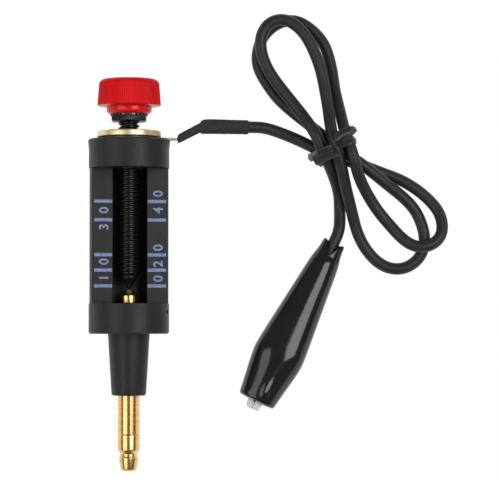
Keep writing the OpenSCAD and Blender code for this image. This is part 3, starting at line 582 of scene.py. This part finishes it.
def make_screw():
    """Screw with its real thread, cut to a point at the lower end."""
    low, high = level("adjusting_screw", 0), level("adjusting_screw", 1)
    pitch, minor, tip, cone, core = 1.27, 2.5, 0.4, 4.2, 0.05
    # One turn of the thread: share of the pitch, and radius
    section = [(0, minor), (0.08, minor), (0.42, ROD_R), (0.54, ROD_R), (0.88, minor)]
    around, spare, near = 48, 3, 1e-4
    turns = int((high - low) / pitch) + spare
    # Rows of points that climb one pitch as they go round
    bm = bmesh.new()
    rows = []
    for turn in range(turns):
        for share, radius in section:
            row = []
            for s in range(around):
                z = low + (turn - 1 + share + s / around) * pitch
                r = max(min(radius, tip + (ROD_R - tip) * (z - low) / cone), core)
                a = 2 * math.pi * s / around
                row.append(bm.verts.new((r * math.cos(a), r * math.sin(a), z)))
            rows.append(row)
    count = len(section)
    for r in range(len(rows) - count - 1):
        for s in range(around):
            over = (r + count, 0) if s == around - 1 else (r, s + 1)
            across = (r + 1 + count, 0) if s == around - 1 else (r + 1, s + 1)
            bm.faces.new((rows[r][s], rows[over[0]][over[1]], rows[across[0]][across[1]], rows[r + 1][s]))
    # Cut level at both ends, and closed there
    for height, normal in ((low, (0, 0, -1)), (high, (0, 0, 1))):
        bmesh.ops.bisect_plane(
            bm, geom=bm.verts[:] + bm.edges[:] + bm.faces[:], plane_co=(0, 0, height), plane_no=normal,
            clear_outer=True,
        )
        rim = [e for e in bm.edges if e.is_boundary and all(abs(v.co.z - height) < near for v in e.verts)]
        middle = bm.verts.new((0, 0, height))
        for edge in rim:
            bm.faces.new((*edge.verts, middle))
    loose = [v for v in bm.verts if not v.link_faces]
    bmesh.ops.delete(bm, geom=loose, context="VERTS")
    bmesh.ops.recalc_face_normals(bm, faces=bm.faces)
    place(bm, UPRIGHT)
    finish_piece("screw_thread", bm, BLACK_STEEL, "screw", ["adjusting_screw"], sharp=28)


def make_knob():
    """Red knob: a smooth boss, and a grip with fine ribs that widens to its foot."""
    low, high = level("knob", 0), level("knob", 1)
    boss_r, foot_r, side_r, hole_r = 6.65, 9.3, 8.85, 4.55
    boss_h, boss_round, crown_round, soft = 2.4, 1.2, 1.6, 0.2
    wall, roof, fit = 0.6, 3.2, 0.05
    ribs, rib_depth, rib_steps = 100, 0.11, 6
    grip, wall_r, wall_top = low + boss_h, hole_r + wall, high - roof
    toe, shelf, ledge = (foot_r - 0.2, grip), grip + 0.15, grip + 0.25
    rib_low, rib_high, rib_from = grip + 0.3, high - 1.0, side_r - 1

    quarter = [math.radians(15 * k) for k in range(7)]
    corner = [
        (boss_r - boss_round * (1 - math.sin(a)), low + boss_round * (1 - math.cos(a))) for a in quarter
    ]
    crown = [
        (side_r - crown_round * (1 - math.cos(a)), high - crown_round * (1 - math.sin(a))) for a in quarter
    ]
    under = softened([(boss_r, grip - 0.45), toe, (foot_r - 0.1, grip + 0.1)], soft)
    back = [(foot_r - 0.4, shelf), (wall_r, shelf), (wall_r, wall_top), (hole_r, wall_top)]
    boss = [(hole_r, wall_top), (hole_r, low)] + corner + under + back
    turned("knob_boss", boss, RED_GLOSS, "screw", "knob", segments=192, sharp=60)

    foot = softened([toe, (foot_r, grip + 0.35), crown[0]], soft)
    sides = [Vector(foot[-2]).lerp(Vector(crown[0]), k / 4) for k in range(1, 4)]
    top = [(side_r - 3, high - 0.12), (0, high - 0.2)]
    inside_r, inside_top = wall_r + fit, wall_top + fit
    inside = [(0, inside_top), (inside_r, inside_top), (inside_r, ledge), (foot_r - 0.5, ledge), toe]

    def ribbed(radius, height, angle):
        if not rib_low < height < rib_high or radius < rib_from:
            return radius
        return radius - rib_depth * (0.5 + 0.5 * math.cos(ribs * angle))

    outline = foot[:-1] + sides + crown + top + inside
    segments = ribs * rib_steps
    turned("red_knob", outline, RED, "screw", "knob", segments, sharp=60, ribs=ribbed)


def make_insert():
    """Brass insert in the knob, a hair above the washer that turns below it."""
    hair, rim = 0.06, 4.5
    low, high = level("knob_insert", 0) + hair, level("knob_insert", 1)
    outline = [(BORE_R, low), (rim, low), (rim, high), (BORE_R, high), (BORE_R, low)]
    profile = softened(outline, radius=0.2)
    turned("brass_insert", profile, ROD_BRASS, "screw_carrier", "knob_insert", segments=96)


rounded_copy("housing_shell", "housing", HOUSING, width=0.12)
make_terminal()
make_flange()
make_screw()
make_knob()
make_insert()
rounded_copy("hex_nut", "lock_nut", BLACK_STEEL, width=0.15)
dress("retaining_pin", DARK_STEEL)
dress("tooth_washer", WASHER)


# Scale print on the panel. Places are millimetres along the tester from its middle, and across the panel.

TICK_PLACES = [21.3, 15.9, 5.7, 1.25, -3.35]
TICK_W = 0.95
LEFT_TICK, RIGHT_TICK = (-10.4, -5.2), (5.2, 10.6)
LEFT_DIGITS = [("3", 13.8), ("0", 18.7), ("1", -1.0), ("0", 3.7)]
RIGHT_DIGITS = [("4", 18.7), ("0", 23.6), ("2", 3.1), ("0", 7.8), ("0", -1.2)]
LEFT_COLUMN, RIGHT_COLUMN = -7.65, 8.2
DIGIT_H, DIGIT_SHARE = 2.65, 0.7  # in millimetres, and as a share of the font's size
INK_T, INK_SPREAD = 0.05, 0.1
# The panel's frame: x across, y along the tester, z out of the panel
ROLL, PANEL_OUT = math.radians(8), 3
PANEL = (
    Matrix.Translation((0, 0, AXIS_H)) @ Matrix.Rotation(ROLL, 4, "Y") @ Matrix.Translation((0, 0, PANEL_OUT))
)


def add_digit(bm, digit, across, along):
    """One plain digit that reads along the tester."""
    text = bpy.data.curves.new("digit", "FONT")
    text.body = digit
    text.align_x, text.align_y = "CENTER", "CENTER"
    text.size = DIGIT_H / DIGIT_SHARE
    text.extrude = INK_T / 2
    text.offset = INK_SPREAD
    holder = bpy.data.objects.new("digit", text)
    scene.collection.objects.link(holder)
    mesh = evaluated_mesh(holder)
    bpy.data.objects.remove(holder)
    bpy.data.curves.remove(text)
    xs = [v.co.x for v in mesh.vertices]
    ys = [v.co.y for v in mesh.vertices]
    centre = Matrix.Translation((-(min(xs) + max(xs)) / 2, -(min(ys) + max(ys)) / 2, 0))
    turn = Matrix.Translation((across, along, INK_T / 2)) @ Matrix.Rotation(math.radians(90), 4, "Z")
    mesh.transform(turn @ centre)
    bm.from_mesh(mesh)
    bpy.data.meshes.remove(mesh)


def make_print():
    """Ticks and digits of both columns, as thin raised ink."""
    bm = bmesh.new()
    for along in TICK_PLACES:
        for start, end in (LEFT_TICK, RIGHT_TICK):
            size = Matrix.Diagonal((end - start, TICK_W, INK_T, 1))
            at = Matrix.Translation(((start + end) / 2, along, INK_T / 2))
            bmesh.ops.create_cube(bm, size=1, matrix=at @ size)
    for column, digits in ((LEFT_COLUMN, LEFT_DIGITS), (RIGHT_COLUMN, RIGHT_DIGITS)):
        for digit, along in digits:
            add_digit(bm, digit, column, along)
    place(bm, PANEL)
    finish_piece("scale_print", bm, INK, "tester")


make_print()


# Ring terminal and its sleeve


def oval(centre, half_w, half_h, square, count):
    """Ring of points round a centre, across x: an ellipse at square 2, and squarer above that."""
    ring = []
    for i in range(count):
        a = 2 * math.pi * (i + 0.5) / count
        c, s = math.cos(a), math.sin(a)
        x = math.copysign(abs(c) ** (2 / square), c) * half_w
        y = math.copysign(abs(s) ** (2 / square), s) * half_h
        ring.append(centre + SIDE * x + UP * y)
    return ring


def subdivide(piece, levels):
    """Smooths a piece by subdivision and keeps the result as its mesh."""
    smooth = piece.modifiers.new("smooth", "SUBSURF")
    smooth.levels = smooth.render_levels = levels
    mesh = evaluated_mesh(piece)
    piece.modifiers.clear()
    piece.data = mesh
    mesh.shade_smooth()


def tube_rings(rows, wall, count):
    """Rings of a tube with a wall: the outside from end to end, then the inside back."""
    outer = [oval(c, w, h, square, count) for c, w, h, square in rows]
    inner = [oval(c, w - wall, h - wall, square, count) for c, w, h, square in reversed(rows)]
    return outer + inner


def make_sleeve():
    """Shrink sleeve: drawn in on the strip, flat over its crank and round over the barrel."""
    start, bend = Vector((14.6, 0, LUG_LEVEL + 0.02)), Vector((21.6, 0, LUG_LEVEL + 3.68))
    wall, around, plumb_len = 0.3, 24, 3.0
    wrinkle, wrinkle_size = 0.06 * MM, 1.6 * MM
    # Share of the way to the bend, half width, half height, squareness
    crank = [
        (0, 2.35, 0.66, 3.5), (0.012, 2.41, 1.08, 3.5), (0.04, 2.45, 1.3, 3.5), (0.12, 2.45, 1.38, 3.5),
        (0.5, 2.45, 1.42, 3.5), (0.93, 2.45, 1.44, 3.5), (1, 2.45, 1.5, 3.3),
    ]
    # Place along x, drop from the barrel's axis, half width, half height, squareness
    barrel = [
        (22.0, 0.2, 2.45, 1.98, 3), (22.25, 0.12, 2.45, 2.16, 2.8), (23.2, 0.08, 2.35, 2.2, 2.4),
        (25, 0, 2.2, 2.2, 2.1), (29, 0, 2.2, 2.2, 2.1), (30.5, 0, 2.14, 2.14, 2), (35.7, 0, 2.16, 2.16, 2),
        (SLEEVE_END, 0, 2.08, 2.08, 2),
    ]
    rows = [(start.lerp(bend, share), *form) for share, *form in crank]
    rows += [(Vector((x, 0, BARREL_LEVEL - drop)), *form) for x, drop, *form in barrel]
    rings = tube_rings(rows, wall, around)
    # The mouth stands upright in the frame, though the sleeve droops
    for point in (p for ring in rings for p in ring):
        share = min(max(1 - (point.x - start.x) / plumb_len, 0), 1)
        point.x += point.y * math.tan(LUG_DROOP) * share
    bm = loft(rings, closed=True)
    place(bm, LUG)
    piece = finish_piece("shrink_sleeve", bm, SLEEVE, "tester", ["lug_sleeve"], sharp=60)
    subdivide(piece, 2)
    for v in piece.data.vertices:
        v.co += v.normal * (noise.noise(v.co / wrinkle_size) * wrinkle)
    return piece


sleeve = make_sleeve()
lug = rounded_copy("ring_lug", "ring_terminal", COPPER, width=0.12)
dress("lug_conductor", COPPER)


# Twist tie

TIE_AT = Vector((60.5, 37.5, 0))
TIE_TURNS = (20, 45)
TIE_W, TIE_T, TIE_GAP, TIE_REACH = 2.2, 0.5, 0.15, 9


def convex_outline(points):
    """Convex outline round points in a plane, anticlockwise."""
    points = sorted(set((round(x, 4), round(y, 4)) for x, y in points))

    def half(ordered):
        chain = []
        for p in ordered:
            while len(chain) > 1:
                (ax, ay), (bx, by) = chain[-2], chain[-1]
                if (bx - ax) * (p[1] - ay) - (by - ay) * (p[0] - ax) > 0:
                    break
                chain.pop()
            chain.append(p)
        return chain[:-1]

    return half(points) + half(points[::-1])


def evenly(points, count):
    """Points at even steps along a closed outline."""
    loop = [Vector(p) for p in points] + [Vector(points[0])]
    lengths = [(b - a).length for a, b in zip(loop, loop[1:])]
    total, out, i, passed = sum(lengths), [], 0, 0.0
    for k in range(count):
        want = total * k / count
        while passed + lengths[i] < want:
            passed += lengths[i]
            i += 1
        out.append(loop[i].lerp(loop[i + 1], (want - passed) / lengths[i]))
    return out


def ribbon_section(width, thick):
    """Section of the ribbon: two thin wings and a wire in the middle, as (across, out)."""
    shares = [-1, -0.8, -0.5, -0.25, 0, 0.25, 0.5, 0.8, 1]
    heights = [0.3, 0.42, 0.4, 0.75, 1.0, 0.75, 0.4, 0.42, 0.3]
    top = [(s * width / 2, h * thick) for s, h in zip(shares, heights)]
    bottom = [(s * width / 2, 0.0) for s in reversed(shares)]
    return top + bottom


def ribbon_ring(centre, across, out, width):
    """Section of the ribbon at a place."""
    return [centre + across * a + out * o for a, o in ribbon_section(width, TIE_T)]


def turn_rings(turn):
    """Rings of one turn of the ribbon round the strands, and the top of what it holds."""
    angle = math.radians(turn)
    along = Vector((math.cos(angle), math.sin(angle), 0))
    across = Vector((math.sin(angle), -math.cos(angle), 0))
    radius = CORD_D / 2 + TIE_GAP
    fine, around, count = 10, 24, 72
    cloud = []
    for k in range(fine, fine * (len(ROUTE) - 2)):
        p = on_lead(k / fine)
        q = Vector((p.x, p.y, 0)) - TIE_AT
        if abs(q.dot(along)) < TIE_REACH and abs(q.dot(across)) < (TIE_W + CORD_D) / 2:
            for j in range(around):
                a = 2 * math.pi * j / around
                cloud.append((q.dot(along) + radius * math.cos(a), p.z + radius * math.sin(a)))
    path = evenly(convex_outline(cloud), count)
    rings = []
    for k, p in enumerate(path):
        step = path[(k + 1) % len(path)] - path[k - 1]
        normal = Vector((step.y, -step.x)).normalized()
        centre = TIE_AT + along * p.x + UP * p.y
        rings.append(ribbon_ring(centre, across, along * normal.x + UP * normal.y, TIE_W))
    return rings, max(y for x, y in cloud)


def bezier(a, b, c, d, count):
    """Points on a cubic curve."""
    out = []
    for k in range(count + 1):
        t = k / count
        out.append(a * (1 - t) ** 3 + b * 3 * t * (1 - t) ** 2 + c * 3 * t**2 * (1 - t) + d * t**3)
    return out


def end_rings(points, widths):
    """Rings of a loose end that lies about level."""
    rings = []
    for k, p in enumerate(points):
        ahead = (points[min(k + 1, len(points) - 1)] - points[max(k - 1, 0)]).normalized()
        across = ahead.cross(UP).normalized()
        share = k / (len(points) - 1)
        width = widths[0] + (widths[1] - widths[0]) * share
        rings.append(ribbon_ring(p, across, across.cross(ahead), width))
    return rings


def make_tie():
    """Two turns of ribbon, a twisted knot on top and two loose ends."""
    turns = [turn_rings(turn) for turn in TIE_TURNS]
    top = max(height for rings, height in turns)
    middle = math.radians(sum(TIE_TURNS) / 2)
    knot = Vector((math.sin(middle), -math.cos(middle), 0))
    flat = Vector((math.cos(middle), math.sin(middle), 0))
    centre = TIE_AT + UP * (top + TIE_W / 2)
    knot_len, knot_gap, steps, end_steps, flare = 5.0, 0.02, 28, 16, 1.3
    pieces = [loft(rings, closed=True) for rings, height in turns]
    for phase in (0, math.pi):
        rings = []
        for k in range(steps + 1):
            share = k / steps
            a = 2 * math.pi * share + phase
            out = flat * math.cos(a) + UP * math.sin(a)
            at = centre + knot * (share - 0.5) * knot_len
            rings.append(ribbon_ring(at + out * knot_gap, knot.cross(out), out, TIE_W))
        pieces.append(loft(rings))
    # Control points of the two loose ends
    nub = [
        centre - knot * 1.5,
        centre - knot * 2.4 + flat * 1.2,
        TIE_AT + flat * 4.5 - knot * 2.6 + UP * (top + 1.0),
        TIE_AT + flat * 6.4 - knot * 1.8 + UP * (top + 0.5),
    ]
    tail = [
        centre + knot * 1.5,
        centre + knot * 2.2 - flat * 1.5,
        TIE_AT - flat * 5 + knot * 0.4 + UP * (top + 0.9),
        TIE_AT - flat * 7.8 + knot * 0.2 + UP * (top + 0.3),
    ]
    pieces.append(loft(end_rings(bezier(*nub, end_steps), (TIE_W, TIE_W))))
    pieces.append(loft(end_rings(bezier(*tail, end_steps), (TIE_W, flare * TIE_W))))
    bm = bmesh.new()
    for piece in pieces:
        mesh = bpy.data.meshes.new("ribbon")
        piece.to_mesh(mesh)
        piece.free()
        bm.from_mesh(mesh)
        bpy.data.meshes.remove(mesh)
    place(bm, Matrix.Identity(4))
    return finish_piece("tie_ribbon", bm, RIBBON, "tester", ["twist_tie"], sharp=40)


tie = make_tie()


# Clip


def make_boot():
    """Soft glossy boot: a slit collar, a ridge at its widest place, and a flattened front with a hump."""
    # Place along x, half width, half height, squareness
    rows = [
        (0, 3.4, 3.4, 2), (1.2, 3.45, 3.45, 2), (3.4, 3.65, 3.6, 2), (5.4, 4.2, 4.1, 2), (7.2, 4.55, 4.38, 2),
        (14, 5.28, 4.77, 2.05), (22, 6.15, 5.25, 2.1), (30, 7.05, 5.73, 2.25), (33.8, 7.45, 5.98, 2.35),
        (36.6, 7.7, 6.18, 2.4), (38.6, 7.68, 6.14, 2.2), (41.6, 7.3, 5.9, 1.95), (46, 6.55, 5.55, 1.9),
        (50, 5.95, 5.2, 1.95), (51.6, 5.72, 4.95, 2.05), (52.2, 5.5, 4.7, 2.1), (52.4, 5.0, 4.2, 2.1),
    ]
    wall, around, lean = 0.9, 32, 0.12
    slit_len, slit_reach, slit_narrow = 4.2, 7.0, 5
    hump_x, hump_y, hump_len, hump_w = 48.0, 1.45, 3.4, 1.7
    hump_h, hump_slope, hump_edge = 0.33, 0.095, 0.8

    rings = tube_rings([(Vector((x, lean, 0)), *form) for x, *form in rows], wall, around)
    for p in (p for ring in rings for p in ring):
        if p.x < slit_reach:
            upward = max(0.0, p.z / math.hypot(p.y, p.z)) ** slit_narrow
            p.x += slit_len * upward * (1 - p.x / slit_reach)
    bm = loft(rings, closed=True)
    place(bm, CLIP)
    piece = finish_piece("clip_cover", bm, VINYL, None, ["clip_boot"], sharp=180)
    subdivide(piece, 2)
    for v in piece.data.vertices:
        local = INTO_CLIP @ v.co
        near = 1 - ((local.x - hump_x) / hump_len) ** 2 - ((local.y - hump_y) / hump_w) ** 2
        if near > 0 and local.z > 0 and v.normal.z > 0:
            share = min(1, near / hump_edge)
            local.z += (hump_h + hump_slope * (local.x - hump_x)) * share**2 * (3 - 2 * share)
            v.co = OUT_OF_CLIP @ local
    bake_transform(piece)
    return piece


boot = make_boot()


def make_jaw(name, node):
    """Copy of a jaw whose nose and teeth almost meet the other's, with the first gap below them closed."""
    clearance, clearance_share = 0.2, 0.25
    gap_from, gap_depth, gap_share = 51.9, 0.8, 0.1
    piece = rounded_copy(name, node, PLATED_STEEL, width=0.06)
    for v in piece.data.vertices:
        local = INTO_CLIP @ v.co
        if local.z < 0 and local.x > gap_from and abs(local.y) < gap_depth:
            local.y *= gap_share
        elif abs(local.y) < clearance and local.x > JAW_TEETH_FROM:
            local.y *= clearance_share
        v.co = OUT_OF_CLIP @ local
    return piece


def make_spring():
    """Copy of the spring with its seams joined, which stands for it."""
    bm = joined_copy("clip_spring")
    piece = finish_piece("spring_wire", bm, BRIGHT_STEEL, None, ["clip_spring"], sharp=60)
    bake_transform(piece)
    return piece


fixed_jaw = make_jaw("fixed_jaw", "clip_fixed_jaw")
moving_jaw = make_jaw("moving_jaw", "clip_moving_jaw")
spring = make_spring()
dress("clip_pivot_pin", PLATED_STEEL)
dress("clip_conductor", COPPER)
